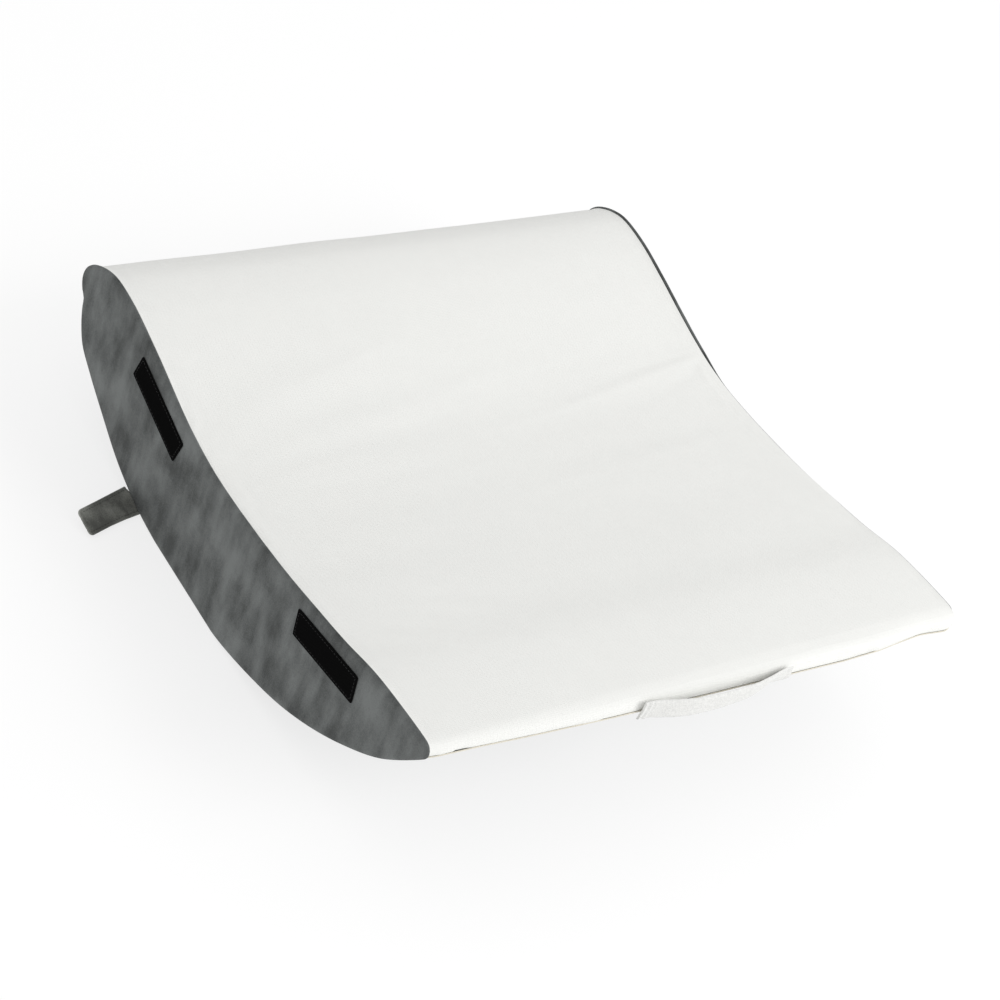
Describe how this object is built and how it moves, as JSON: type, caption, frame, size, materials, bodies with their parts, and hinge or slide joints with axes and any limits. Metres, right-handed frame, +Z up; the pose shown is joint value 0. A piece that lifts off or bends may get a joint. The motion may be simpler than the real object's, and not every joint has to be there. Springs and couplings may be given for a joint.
{
  "type": "contoured foam rest pillow",
  "caption": "Wide foam rest pillow with a crescent profile, a dished white knit top, grey suede sides, black hook strips, a strap handle and a pull tab.",
  "frame": {"origin": "on the flat of the underside, in the plane midway between the side panels", "axes": "+X to the right side panel, +Y from the thin front edge with the handle to the thick rear crest, +Z up from the underside"},
  "size_m": [0.5902, 0.5758, 0.154],
  "materials": {
    "white_knit": "matt knit",
    "white_strap": "matt woven strap",
    "grey_suede": "matt suede nap",
    "hook_tape": "matt hook tape"
  },
  "bodies": {
    "root": {"filled_body": "white_knit", "handle": "white_strap", "side_panel_left": "grey_suede", "side_panel_right": "grey_suede", "underside_panel": "grey_suede", "pull_tab": "grey_suede", "hook_strip_left_front": "hook_tape", "hook_strip_left_rear": "hook_tape", "hook_strip_right_front": "hook_tape", "hook_strip_right_rear": "hook_tape"}
  },
  "joints": []
}
